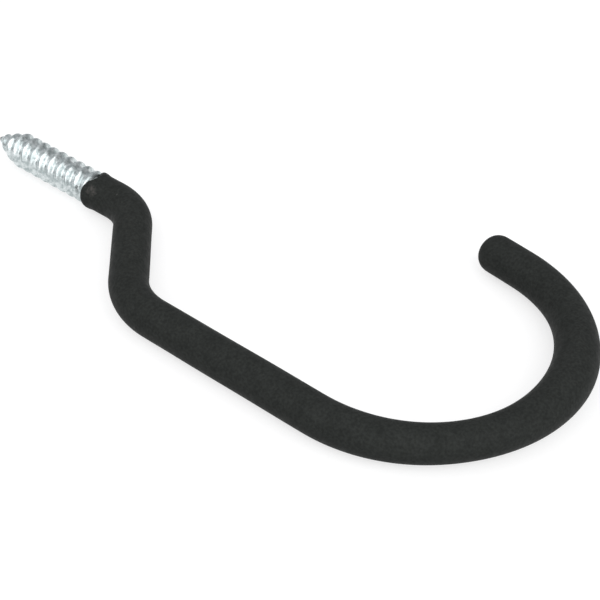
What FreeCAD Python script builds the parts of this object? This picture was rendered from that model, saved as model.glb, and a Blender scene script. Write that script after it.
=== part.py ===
import FreeCAD, Part
import math
import os
from collections import namedtuple

from FreeCAD import Vector

# Garage utility hook: one bent steel rod, bare at its screw end and dip-coated in black vinyl from
# there on. Lengths are in millimetres and angles in degrees. The hook lies flat.
# The origin is on the screw's axis, at the front of the coating's lip. +X runs along the screw
# towards the hook, +Y points to the side where the hook's free end is, and +Z is up.

# Coated rod and its bends, along the centreline from the lip to the rounded free end
coated_diameter = 8.3
lead_length = 6.7
offset_angle = 47.0
first_bend_radius = 13.3
leg_length = 18.5
second_bend_radius = 17.4
run_length = 41.3
hook_radius = 31.1
hook_angle = 173.0
end_length = 6.4

# Lip of the coating: a rounded nose, the bead that gathers at the dip line, and a taper behind it
lip_diameter = 8.7
lip_nose_radius = 0.8
lip_bead_length = 2.5
lip_taper_length = 1.3

# Lag screw from the lip to the tip of its gimlet point, at the diameter over the thread's crests
screw_length = 30.8
screw_diameter = 7.9
point_length = 8.0
collar_length = 1.2

# Right-handed thread: a groove with a wide floor and sloping flanks, in straight steps round the screw.
# It starts a little behind the tip and crosses the line along the screw's top at groove_at_top.
thread_pitch = 25.4 / 9
thread_depth = 1.09
crest_width = 0.36
flank_angle = 30.0
bare_tip_length = 1.6
groove_at_top = -1.78
steps_per_turn = 24

coated_radius = coated_diameter / 2
lip_radius = lip_diameter / 2
screw_radius = screw_diameter / 2

# Half the width at which the groove's flanks stop, so that its turns stay apart
groove_reach = 0.47 * thread_pitch

ORIGIN = Vector(0, 0, 0)
SCREW_AXIS = Vector(1, 0, 0)
UP = Vector(0, 0, 1)

# One stretch of the centreline. A straight has no turn. A bend turns left where turn is above zero.
Leg = namedtuple("Leg", "start heading length radius turn")


def direction(heading):
    """The unit vector in the hook's plane at this angle from +X."""
    return Vector(math.cos(math.radians(heading)), math.sin(math.radians(heading)), 0)


def bend_centre(leg):
    """The point that a bend goes round."""
    side = 90 if leg.turn > 0 else -90
    return leg.start + direction(leg.heading + side) * leg.radius


def end_of(leg):
    """The point and heading at a leg's far end."""
    if leg.turn == 0:
        return leg.start + direction(leg.heading) * leg.length, leg.heading
    centre = bend_centre(leg)
    spoke = FreeCAD.Rotation(UP, leg.turn).multVec(leg.start - centre)
    return centre + spoke, leg.heading + leg.turn


def centreline():
    """The coated rod's legs, from the end of the lead to the start of the rounded end."""
    shapes = [
        (0, first_bend_radius, -offset_angle),
        (leg_length, 0, 0),
        (0, second_bend_radius, offset_angle),
        (run_length, 0, 0),
        (0, hook_radius, hook_angle),
        (end_length, 0, 0),
    ]
    legs = []
    point = Vector(lead_length, 0, 0)
    heading = 0
    for length, radius, turn in shapes:
        legs.append(Leg(point, heading, length, radius, turn))
        point, heading = end_of(legs[-1])
    return legs


def bar(leg):
    """The coated rod along one leg."""
    circle = Part.makeCircle(coated_radius, leg.start, direction(leg.heading))
    face = Part.Face(Part.Wire(circle))
    if leg.turn == 0:
        return face.extrude(direction(leg.heading) * leg.length)
    return face.revolve(bend_centre(leg), UP, leg.turn)


def lines(points):
    """Straight edges through (along, out) points of a turned piece's half outline."""
    ends = [Vector(along, out, 0) for along, out in points]
    return [Part.LineSegment(a, b).toShape() for a, b in zip(ends, ends[1:])]


def quarter(centre, radius):
    """A quarter circle from the centre's -X side to its +Y side."""
    middle = Vector(*centre, 0)
    halfway = middle + direction(135) * radius
    return Part.Arc(middle + direction(180) * radius, halfway, middle + direction(90) * radius).toShape()


def turned(outline):
    """A solid of revolution about the screw's axis from a closed half outline."""
    return Part.Face(Part.Wire(outline)).revolve(ORIGIN, SCREW_AXIS, 360)


def lip():
    """The coating's lip and the straight lead behind it."""
    nose_centre = (lip_nose_radius, lip_radius - lip_nose_radius)
    outline = lines([(lead_length, 0), (0, 0), (0, lip_radius - lip_nose_radius)])
    outline.append(quarter(nose_centre, lip_nose_radius))
    outline += lines(
        [
            (lip_nose_radius, lip_radius),
            (lip_bead_length, lip_radius),
            (lip_bead_length + lip_taper_length, coated_radius),
            (lead_length, coated_radius),
            (lead_length, 0),
        ]
    )
    return turned(outline)


def round_end(leg):
    """The half ball that closes the coating past the last leg."""
    centre, heading = end_of(leg)
    return Part.makeSphere(coated_radius, centre, direction(heading), 0, 90, 360)


def coated_rod():
    """The coated length of the rod: lip, offset bends, run, hook and rounded end."""
    legs = centreline()
    pieces = [bar(leg) for leg in legs]
    pieces.append(round_end(legs[-1]))
    return lip().fuse(pieces)


def at_step(step, along, out):
    """The point this far along the screw and out from its axis, at one step round it."""
    return FreeCAD.Rotation(SCREW_AXIS, 360 * step / steps_per_turn).multVec(Vector(along, 0, out))


def flat(corners):
    """A flat face with these corners."""
    return Part.Face(Part.makePolygon([*corners, corners[0]]))


def closed(faces):
    """The solid inside a closed set of faces."""
    solid = Part.Solid(Part.Shell(faces))
    if solid.Volume < 0:
        solid.reverse()
    return solid


def screw_blank():
    """The screw before its groove is cut: shank and point, with one side for each step."""
    steps = range(steps_per_turn)
    back = [at_step(step, -collar_length, screw_radius) for step in steps]
    front = [at_step(step, point_length - screw_length, screw_radius) for step in steps]
    tip = SCREW_AXIS * -screw_length
    faces = [flat(back)]
    for k in steps:
        faces.append(flat([back[k - 1], back[k], front[k], front[k - 1]]))
        faces.append(flat([front[k - 1], front[k], tip]))
    return closed(faces)


def taper(along):
    """The point's share of the shank's thickness at a place along the screw."""
    return min(1.0, (along + screw_length) / point_length)


def groove_section(step):
    """Corners of the groove at one step: its floor and flanks, then straight up past the crests."""
    along = groove_at_top + thread_pitch * step / steps_per_turn
    slope = math.tan(math.radians(flank_angle))
    inner = (thread_pitch - crest_width) / 2 - thread_depth * taper(along) * slope
    rise = (groove_reach - inner) / slope
    low = (screw_radius - thread_depth) * taper(along - inner)
    high = (screw_radius - thread_depth) * taper(along + inner)
    top = high + rise + thread_depth
    corners = [
        (along - inner, low),
        (along - groove_reach, low + rise),
        (along - groove_reach, top),
        (along + groove_reach, top),
        (along + groove_reach, high + rise),
        (along + inner, high),
    ]
    return [at_step(step, *corner) for corner in corners]


def thread_groove():
    """What the thread takes out of the blank: a groove that winds from the tip into the collar."""
    first = math.ceil((bare_tip_length - screw_length - groove_at_top) / thread_pitch * steps_per_turn)
    last = math.ceil(-groove_at_top / thread_pitch * steps_per_turn)
    sections = [groove_section(step) for step in range(first, last + 1)]
    faces = [flat(sections[0]), flat(sections[-1])]
    for near, far in zip(sections, sections[1:]):
        for k in range(len(near)):
            faces.append(flat([near[k - 1], near[k], far[k]]))
            faces.append(flat([near[k - 1], far[k], far[k - 1]]))
    return closed(faces)


def lag_screw():
    """The bare end of the rod: plain collar, threaded shank and gimlet point."""
    collar = Part.makeCylinder(screw_radius, collar_length, SCREW_AXIS * -collar_length, SCREW_AXIS)
    return screw_blank().cut(thread_groove()).fuse(collar)


def save(name, shape):
    """Writes one node, which is a single solid."""
    solid = shape.Solids[0]
    solid.exportStep(os.path.join("parts", name + ".step"))
    print(name, "solids", len(shape.Solids), "valid", solid.isValid(), "volume", round(solid.Volume, 1))


os.makedirs("parts", exist_ok=True)
save("coated_rod", coated_rod())
save("lag_screw", lag_screw())
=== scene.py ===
import math
from collections import namedtuple

import bpy
import numpy as np
from mathutils import Matrix, Vector


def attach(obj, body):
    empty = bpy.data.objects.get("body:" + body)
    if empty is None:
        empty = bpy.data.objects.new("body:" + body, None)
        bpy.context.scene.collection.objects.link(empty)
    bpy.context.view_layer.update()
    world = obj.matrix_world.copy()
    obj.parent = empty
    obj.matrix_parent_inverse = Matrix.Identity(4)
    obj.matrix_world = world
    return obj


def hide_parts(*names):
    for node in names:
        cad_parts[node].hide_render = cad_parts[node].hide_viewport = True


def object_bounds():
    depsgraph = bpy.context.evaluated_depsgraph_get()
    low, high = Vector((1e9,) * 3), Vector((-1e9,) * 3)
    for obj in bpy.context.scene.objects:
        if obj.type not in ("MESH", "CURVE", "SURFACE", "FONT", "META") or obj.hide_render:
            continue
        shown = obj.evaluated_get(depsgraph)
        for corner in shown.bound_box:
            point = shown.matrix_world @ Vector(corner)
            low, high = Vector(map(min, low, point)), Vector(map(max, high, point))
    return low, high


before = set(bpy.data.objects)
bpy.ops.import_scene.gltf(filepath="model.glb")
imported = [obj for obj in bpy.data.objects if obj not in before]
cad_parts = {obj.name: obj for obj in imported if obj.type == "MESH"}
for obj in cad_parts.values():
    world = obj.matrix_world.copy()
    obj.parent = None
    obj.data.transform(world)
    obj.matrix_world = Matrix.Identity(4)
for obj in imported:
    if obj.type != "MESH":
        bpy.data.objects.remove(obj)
cad_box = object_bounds()

# Garage utility hook, lying flat. Its sizes are in millimetres and become metres where a mesh or a
# texture is made. The origin is on the screw's axis at the coating's lip, +X runs towards the hook
# and +Z is up. Angles round the rod start on its left, seen from the screw, and go over its top.
MM = 0.001

# Centreline of the coated rod, from the lip to the start of the domed end
lead_length = 6.7
offset_angle = math.radians(47.0)
first_bend_radius = 13.3
leg_length = 18.5
second_bend_radius = 17.4
run_length = 41.3
hook_radius = 31.1
hook_angle = math.radians(173.0)
end_length = 6.8

# Coating: its radius, the rounded lip with its bead, and the dome at its end
coated_radius = 4.15
lip_foot_at = -0.35
lip_foot_radius = 3.0
lip_bead_at = 0.9
lip_bead_radius = 4.35
lip_fairing_end = 2.8
dome_length = 3.75
dome_power = 2.3

# Edge of the lip, round the rod: a notch on top, a tongue on the near side and a slight wave
lip_edge_reach = 4.2
lip_notch = 1.8
lip_notch_angle = math.radians(91.0)
lip_notch_spread = math.radians(33.5)
lip_tongue = 0.2
lip_tongue_angle = math.radians(205.0)
lip_tongue_spread = math.radians(25.0)
lip_wave = 0.10
lip_wave_count = 3
lip_wave_phase = 2.1

# Where the wet coating drained: thin on the way into the hook, thick on the way out of it
thin_spot_angle = math.radians(54.0)
thin_spot_depth = 0.33
thin_spot_spread = 19.7
thick_spot_angle = math.radians(107.0)
thick_spot_height = 0.48
thick_spot_spread = 15.3

# Faint ripple all along the coating, from two waves whose rates are in radians for each millimetre
ripple_height = 0.025
ripple_rate = 0.21
ripple_cross_rate = 0.083
ripple_cross_count = 2

# Lag screw: a right-hand ridge round a core, from the gimlet point's tip to under the lip
screw_length = 30.8
point_length = 7.8
point_power = 0.66
thread_pitch = 2.822
ridge_at_top = -3.19
crest_radius = 3.95
core_radius = 2.86
crest_half_width = 0.10
flank_width = 1.05
screw_overlap = 2.6

# Mesh spacing
lip_rings = 17
dome_rings = 20
coating_step = 0.45
coating_segments = 96
screw_step = 0.07
screw_segments = 144

# Vinyl: its colours, with the shades of its grain, and its gloss
vinyl_dark = (0.0192, 0.0211, 0.0197)
vinyl_pale = (0.0238, 0.0259, 0.0242)
mottle_size = 3.0
grain_size = 0.55
grain_shades = (0.80, 1.20)
vinyl_roughness = (0.50, 0.66)
vinyl_gloss_size = 1.2
vinyl_specular = 0.06

# Vinyl: its pale specks, one in each cell, with their core and rim as shares of the spacing
speck_spacing = 9.0
speck_core = 0.02
speck_rim = 0.05
speck_colour = (0.10, 0.10, 0.095)

# Vinyl: a paler patch beside the lip, whose noise fades with distance and shows between two values
pale_patch_at = Vector((3.0, -3.5, 2.6))
pale_patch_reach = 3.0
pale_patch_grain_size = 0.6
pale_patch_from = 0.26
pale_patch_full = 0.50
pale_patch_colour = (0.068, 0.065, 0.061)

# Vinyl: its fine pores and broad swells
pore_size = 0.35
pore_depth = 0.05
pore_strength = 0.55
swell_size = 2.4
swell_depth = 0.12
swell_strength = 0.30

# Zinc plating: its dull and bright patches and its gloss
zinc_dull = (0.40, 0.455, 0.46)
zinc_bright = (0.70, 0.75, 0.755)
zinc_patch_size = 0.9
zinc_roughness = (0.24, 0.38)
zinc_gloss_size = 0.7

# Zinc plating: its dents and pits, and the dark nib at the point's tip
dent_size = 1.3
dent_depth = 0.10
dent_strength = 0.6
pit_size = 0.45
pit_depth = 0.03
pit_strength = 0.5
nib_reach = 1.8
nib_from = 0.2
nib_full = 0.6
nib_shade = 0.30

# Camera, fitted to the photograph with the picture taken as 600 by 600
picture_size = 600
focal_pixels = 1563.7
camera_azimuth = math.radians(39.97)
camera_elevation = math.radians(38.40)
camera_roll = math.radians(1.25)
target = Vector((lead_length, 0.0, 0.0)) * MM
target_pixel = (115.2, 200.4)
target_distance = 339.3 * MM
clip_start = 10.0 * MM
sensor_width = 36.0

# Floor, in metres: its grey, and the glow that whitens it where it is seen or mirrored
floor_size = 40.0
floor_grey = (0.40, 0.40, 0.40)
floor_glow = 0.66

# Sky, by height along its direction, from 0 at the far side to 1 at the direction itself
sky_direction = Vector((-0.50, 0.10, 0.86))
sky_dark = (0.24, 0.24, 0.2448)
sky_dark_until = 0.375
sky_pale = (0.64, 0.64, 0.6528)
sky_pale_from = 0.80

# Lamps, in metres and watts: a wide softbox in front and a soft fill on the hook's side
key_direction = Vector((0.0, -0.643, 0.766))
key_distance = 2.0
key_width = 4.0
key_height = 1.7
key_watts = 20.0
fill_direction = Vector((0.83, -0.28, 0.48))
fill_strength = 0.68
fill_angle = math.radians(78.0)

# One stretch of the centreline. Its curvature is its turn to the left for each millimetre.
Leg = namedtuple("Leg", "length start heading curvature")


def smooth(t):
    """Eases from 0 to 1 as t goes from 0 to 1."""
    t = np.clip(t, 0.0, 1.0)
    return t * t * (3.0 - 2.0 * t)


def bell(t):
    """1 where t is 0, falling away to nothing on both sides."""
    return np.exp(-(t ** 2))


def travel(start, heading, curvature, distance):
    """The point and heading reached by going a distance along a leg."""
    if curvature == 0.0:
        return start + distance * np.array([math.cos(heading), math.sin(heading)]), heading
    turned = heading + curvature * distance
    across = np.array([math.sin(turned) - math.sin(heading), math.cos(heading) - math.cos(turned)])
    return start + across / curvature, turned


def rod_legs():
    """The centreline's legs, from the lip to the start of the domed end."""
    shapes = [
        (lead_length, 0.0),
        (first_bend_radius * offset_angle, -1.0 / first_bend_radius),
        (leg_length, 0.0),
        (second_bend_radius * offset_angle, 1.0 / second_bend_radius),
        (run_length, 0.0),
        (hook_radius * hook_angle, 1.0 / hook_radius),
        (end_length, 0.0),
    ]
    legs = []
    start = np.zeros(2)
    heading = 0.0
    for length, curvature in shapes:
        legs.append(Leg(length, start, heading, curvature))
        start, heading = travel(start, heading, curvature, length)
    return legs


# The hook is the last leg but one
LEGS = rod_legs()
ROD_LENGTH = sum(leg.length for leg in LEGS)
HOOK_START = sum(leg.length for leg in LEGS[:-2])


def on_rod(along):
    """The centreline's point and left-hand direction at a distance from the lip."""
    for leg in LEGS:
        if along <= leg.length or leg is LEGS[-1]:
            break
        along -= leg.length
    point, heading = travel(leg.start, leg.heading, leg.curvature, along)
    return point, np.array([-math.sin(heading), math.cos(heading)])


def drained(along):
    """How much the coating's thickness departs from even, at distances from the lip."""
    thin = (along - HOOK_START - hook_radius * thin_spot_angle) / thin_spot_spread
    thick = (along - HOOK_START - hook_radius * thick_spot_angle) / thick_spot_spread
    return thick_spot_height * bell(thick) - thin_spot_depth * bell(thin)


def coating_profile():
    """Distances along the rod and radii there: rounded lip, bead, even coat and domed end."""
    quarter = np.linspace(0.0, math.pi / 2, lip_rings)
    nose_along = lip_foot_at + (lip_bead_at - lip_foot_at) * (1.0 - np.cos(quarter))
    nose_radius = lip_foot_radius + (lip_bead_radius - lip_foot_radius) * np.sin(quarter)
    count = int((ROD_LENGTH - lip_bead_at) / coating_step)
    body_along = np.linspace(lip_bead_at, ROD_LENGTH, count + 1)[1:]
    fairing = smooth((body_along - lip_bead_at) / (lip_fairing_end - lip_bead_at))
    body_radius = lip_bead_radius + (coated_radius - lip_bead_radius) * fairing + drained(body_along)
    dome = np.linspace(0.0, math.pi / 2, dome_rings)[1:-1]
    dome_along = ROD_LENGTH + dome_length * np.sin(dome) ** (2.0 / dome_power)
    dome_radius = body_radius[-1] * np.cos(dome) ** (2.0 / dome_power)
    along = np.concatenate([nose_along, body_along, dome_along])
    return along, np.concatenate([nose_radius, body_radius, dome_radius])


def lip_edge(angle):
    """How far the lip's edge is drawn back from even: a notch, a tongue and a slight wave."""
    notch = lip_notch * bell((angle - lip_notch_angle) / lip_notch_spread)
    tongue = lip_tongue * bell((angle - lip_tongue_angle) / lip_tongue_spread)
    return notch - tongue + lip_wave * np.sin(lip_wave_count * angle + lip_wave_phase)


def add_object(name, data):
    """A new object in the scene, for a mesh, a lamp or a camera."""
    obj = bpy.data.objects.new(name, data)
    bpy.context.scene.collection.objects.link(obj)
    return obj


def tube_faces(rings, segments):
    """Quads between rings of vertices, then a fan to one vertex at each end."""
    ring = np.arange(rings - 1)[:, None] * segments
    here = np.arange(segments)[None, :]
    there = (here + 1) % segments
    corners = [ring + here, ring + there, ring + segments + there, ring + segments + here]
    faces = np.stack(corners, axis=-1).reshape(-1, 4).tolist()
    first_cap = rings * segments
    last = (rings - 1) * segments
    for k in range(segments):
        after = (k + 1) % segments
        faces.append([first_cap, after, k])
        faces.append([first_cap + 1, last + k, last + after])
    return faces


def tube_object(name, rings, first_cap, last_cap):
    """A closed smooth mesh from an array of rings, in millimetres."""
    count, segments, _ = rings.shape
    points = np.concatenate([rings.reshape(-1, 3), [first_cap], [last_cap]]) * MM
    mesh = bpy.data.meshes.new(name)
    mesh.from_pydata(points.tolist(), [], tube_faces(count, segments))
    mesh.shade_smooth()
    return add_object(name, mesh)


def make_coating():
    """The vinyl coat, swept along the rod."""
    along, radius = coating_profile()
    angle = np.linspace(0.0, 2 * math.pi, coating_segments, endpoint=False)
    edge = lip_edge(angle)
    rings = np.empty((len(along), coating_segments, 3))
    for k, (s, r) in enumerate(zip(along, radius)):
        shift = (1.0 - smooth(s / lip_edge_reach)) * edge
        cross_wave = np.sin(ripple_cross_rate * s - ripple_cross_count * angle)
        ripple = ripple_height * np.sin(ripple_rate * s + angle) * cross_wave
        out = r * (1.0 + ripple / coated_radius)
        point, side = on_rod(s)
        forward = np.array([side[1], -side[0]])
        rings[k, :, 0] = point[0] + side[0] * out * np.cos(angle) + forward[0] * shift
        rings[k, :, 1] = point[1] + side[1] * out * np.cos(angle) + forward[1] * shift
        rings[k, :, 2] = out * np.sin(angle)
    tip, _ = on_rod(ROD_LENGTH + dome_length)
    return tube_object("vinyl_coating", rings, (along[0], 0.0, 0.0), (tip[0], tip[1], 0.0))


def from_ridge(x, angle):
    """How far along the screw a place is from the middle of the thread's ridge."""
    # The top is a quarter of a turn round
    turn = angle / (2 * math.pi) - 0.25
    return np.abs(((x - ridge_at_top) / thread_pitch - turn + 0.5) % 1.0 - 0.5) * thread_pitch


def make_screw():
    """The bare threaded end, from the gimlet point's tip to just inside the lip."""
    x = np.arange(-screw_length, screw_overlap, screw_step)[:, None]
    angle = np.linspace(0.0, 2 * math.pi, screw_segments, endpoint=False)[None, :]
    up_point = np.clip((x + screw_length + screw_step) / point_length, 0.0, 1.0)
    ridge = smooth((crest_half_width + flank_width - from_ridge(x, angle)) / flank_width)
    out = (core_radius + (crest_radius - core_radius) * ridge) * up_point ** point_power
    rings = np.empty(out.shape + (3,))
    rings[..., 0] = x
    rings[..., 1] = out * np.cos(angle)
    rings[..., 2] = out * np.sin(angle)
    return tube_object("threaded_screw", rings, (-screw_length, 0.0, 0.0), (x[-1, 0], 0.0, 0.0))


class Nodes:
    """The shader nodes of a material or a world, with short calls to add and join them.

    Where a call takes a value, it is a node's output, a colour, a vector or a number.
    """

    # A mix node repeats its sockets' names for each kind of data, so those for colours go by number
    MIX_INPUTS = (0, 6, 7)
    MIX_RESULT = 2

    def __init__(self, owner, shader="Principled BSDF"):
        owner.use_nodes = True
        self.tree = owner.node_tree
        self.shader = self.tree.nodes[shader]

    def feed(self, socket, value):
        """Gives a socket its value."""
        if isinstance(value, bpy.types.NodeSocket):
            self.tree.links.new(value, socket)
        elif isinstance(value, tuple):
            socket.default_value = (*value, 1.0)
        else:
            socket.default_value = value

    def set(self, name, value):
        """Gives one of the shader's own inputs its value."""
        self.feed(self.shader.inputs[name], value)

    def add(self, kind, **inputs):
        """A new node, with values for inputs by name. An underscore stands for a space."""
        node = self.tree.nodes.new(kind)
        for name, value in inputs.items():
            self.feed(node.inputs[name.replace("_", " ")], value)
        return node

    def place(self, space="Object"):
        """Where the shaded point is, in the object's own space unless another is named."""
        return self.add("ShaderNodeTexCoord").outputs[space]

    def calc(self, operation, *values):
        """A number worked out from other numbers."""
        node = self.add("ShaderNodeMath")
        node.operation = operation
        for socket, value in zip(node.inputs, values):
            self.feed(socket, value)
        return node.outputs["Value"]

    def measure(self, operation, first, second):
        """A number worked out from two vectors."""
        node = self.add("ShaderNodeVectorMath")
        node.operation = operation
        self.feed(node.inputs[0], first)
        self.feed(node.inputs[1], second)
        return node.outputs["Value"]

    def ramp(self, source, *stops):
        """Colours or greys by value, between two stops of (position, colour)."""
        node = self.add("ShaderNodeValToRGB", Fac=source)
        for element, (position, colour) in zip(node.color_ramp.elements, stops):
            shade = colour if isinstance(colour, tuple) else (colour, colour, colour)
            element.position = position
            element.color = (*shade, 1.0)
        return node.outputs["Color"]

    def noise(self, size_mm, detail=3.0):
        """Noise in the object's own space, with features about this many millimetres across."""
        scale = 1.0 / (size_mm * MM)
        node = self.add("ShaderNodeTexNoise", Vector=self.place(), Scale=scale, Detail=detail)
        return node.outputs["Fac"]

    def clouds(self, size_mm, low, high, spread=0.2, detail=3.0):
        """Noise from one colour or grey to another, over this spread either side of its middle."""
        return self.ramp(self.noise(size_mm, detail), (0.5 - spread, low), (0.5 + spread, high))

    def spot(self, centre_mm, reach_mm):
        """1 at a place in the object's own space, fading to 0 this far from it."""
        away = self.measure("DISTANCE", self.place(), centre_mm * MM)
        fade = self.add("ShaderNodeMapRange", Value=away, From_Max=reach_mm * MM, To_Min=1.0, To_Max=0.0)
        return fade.outputs["Result"]

    def mix(self, share, first, second, blend="MIX"):
        """Two colours mixed by a share."""
        node = self.add("ShaderNodeMix")
        node.data_type = "RGBA"
        node.blend_type = blend
        for number, value in zip(self.MIX_INPUTS, (share, first, second)):
            self.feed(node.inputs[number], value)
        return node.outputs[self.MIX_RESULT]

    def bump(self, height, depth_mm, strength, under=None):
        """A bump of this depth, laid over another one where given."""
        node = self.add("ShaderNodeBump", Height=height, Distance=depth_mm * MM, Strength=strength)
        if under:
            self.feed(node.inputs["Normal"], under)
        return node.outputs["Normal"]


def vinyl():
    """Black dipped vinyl: matte, mottled and finely grained, with a few pale specks and a paler patch
    beside the lip.
    """
    material = bpy.data.materials.new("black_vinyl")
    m = Nodes(material)
    mottle = m.clouds(mottle_size, vinyl_dark, vinyl_pale, detail=4.0)
    grain = m.clouds(grain_size, *grain_shades, spread=0.15)
    coat = m.mix(1.0, mottle, grain, "MULTIPLY")
    cells = m.add("ShaderNodeTexVoronoi", Vector=m.place(), Scale=1.0 / (speck_spacing * MM))
    speck = m.ramp(cells.outputs["Distance"], (speck_core, 1.0), (speck_rim, 0.0))
    coat = m.mix(speck, coat, speck_colour)
    # A paler patch of colour beside the lip, fading with distance and broken up by noise
    patch_noise = m.calc("MULTIPLY", m.spot(pale_patch_at, pale_patch_reach), m.noise(pale_patch_grain_size))
    patch_share = m.ramp(patch_noise, (pale_patch_from, 0.0), (pale_patch_full, 1.0))
    m.set("Base Color", m.mix(patch_share, coat, pale_patch_colour))
    m.set("Roughness", m.clouds(vinyl_gloss_size, *vinyl_roughness))
    m.set("Specular IOR Level", vinyl_specular)
    pores = m.bump(m.noise(pore_size), pore_depth, pore_strength)
    m.set("Normal", m.bump(m.noise(swell_size), swell_depth, swell_strength, pores))
    return material


def zinc():
    """Bright zinc plating on rolled steel: patchy, slightly uneven and dark at the point's nib."""
    material = bpy.data.materials.new("zinc_steel")
    m = Nodes(material)
    plate = m.clouds(zinc_patch_size, zinc_dull, zinc_bright, spread=0.12, detail=4.0)
    tip = Vector((-screw_length, 0.0, 0.0))
    nib = m.ramp(m.spot(tip, nib_reach), (nib_from, 1.0), (nib_full, nib_shade))
    m.set("Base Color", m.mix(1.0, plate, nib, "MULTIPLY"))
    m.set("Metallic", 1.0)
    m.set("Roughness", m.clouds(zinc_gloss_size, *zinc_roughness, detail=4.0))
    dents = m.bump(m.noise(dent_size, detail=2.0), dent_depth, dent_strength)
    m.set("Normal", m.bump(m.noise(pit_size), pit_depth, pit_strength, dents))
    return material


def floor_white():
    """White floor that takes a soft shadow and reads as the picture's white ground."""
    material = bpy.data.materials.new("floor_white")
    m = Nodes(material)
    m.set("Base Color", floor_grey)
    m.set("Roughness", 1.0)
    m.set("Specular IOR Level", 0.0)
    m.set("Emission Color", (1.0, 1.0, 1.0))
    path = m.add("ShaderNodeLightPath").outputs
    seen = path["Is Camera Ray"]
    for other in ("Is Glossy Ray", "Is Transmission Ray"):
        seen = m.calc("MAXIMUM", seen, path[other])
    m.set("Emission Strength", m.calc("MULTIPLY", seen, floor_glow))
    return material


def dress():
    """Puts the coating and the threaded screw in the place of their plain solids."""
    coating = make_coating()
    coating.data.materials.append(vinyl())
    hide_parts("coated_rod")
    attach(coating, "root")
    screw = make_screw()
    screw.data.materials.append(zinc())
    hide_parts("lag_screw")
    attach(screw, "root")


def add_floor():
    """The floor under the hook's lowest point."""
    half = floor_size / 2
    low = min(cad_box[0][2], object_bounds()[0][2])
    corners = [(-half, -half, low), (half, -half, low), (half, half, low), (-half, half, low)]
    mesh = bpy.data.meshes.new("floor")
    mesh.from_pydata(corners, [], [(0, 1, 2, 3)])
    mesh.materials.append(floor_white())
    floor = add_object("floor", mesh)


def add_sky():
    """A sky that is pale over the screw and darkens past the hook."""
    world = bpy.data.worlds.new("studio")
    m = Nodes(world, "Background")
    facing = m.measure("DOT_PRODUCT", m.place("Generated"), sky_direction)
    height = m.calc("MULTIPLY_ADD", facing, 0.5, 0.5)
    m.set("Color", m.ramp(height, (sky_dark_until, sky_dark), (sky_pale_from, sky_pale)))
    bpy.context.scene.world = world


def add_lamp(name, kind, direction):
    """A lamp that shines from a direction."""
    lamp = add_object(name, bpy.data.lights.new(name, kind))
    lamp.rotation_euler = direction.to_track_quat("Z", "Y").to_euler()
    return lamp


def add_lamps():
    """The softbox, level along its width and facing the origin, and the soft fill."""
    key = add_lamp("key", "AREA", key_direction)
    key.location = key_direction * key_distance
    key.data.shape = "RECTANGLE"
    key.data.size = key_width
    key.data.size_y = key_height
    key.data.energy = key_watts
    fill = add_lamp("fill", "SUN", fill_direction)
    fill.data.energy = fill_strength * math.pi
    fill.data.angle = fill_angle


def add_camera():
    """The photograph's viewpoint, with the start of the first bend at its place in the picture."""
    back = Vector(
        (
            math.sin(camera_azimuth) * math.cos(camera_elevation),
            -math.cos(camera_azimuth) * math.cos(camera_elevation),
            math.sin(camera_elevation),
        )
    )
    level = Vector((math.cos(camera_azimuth), math.sin(camera_azimuth), 0.0))
    sunk = (-back).cross(level)
    right = level * math.cos(camera_roll) - sunk * math.sin(camera_roll)
    down = level * math.sin(camera_roll) + sunk * math.cos(camera_roll)
    per_pixel = target_distance / focal_pixels
    aside = (target_pixel[0] - picture_size / 2) * per_pixel
    below = (target_pixel[1] - picture_size / 2) * per_pixel
    place = target - right * aside - down * below + back * target_distance
    data = bpy.data.cameras.new("camera")
    data.sensor_width = sensor_width
    data.lens = focal_pixels / picture_size * sensor_width
    data.clip_start = clip_start
    camera = add_object("camera", data)
    axes = Matrix((right, -down, back)).transposed()
    camera.matrix_world = Matrix.Translation(place) @ axes.to_4x4()
    bpy.context.scene.camera = camera


dress()
add_floor()
add_sky()
add_lamps()
add_camera()
bpy.context.scene.view_settings.view_transform = "Standard"
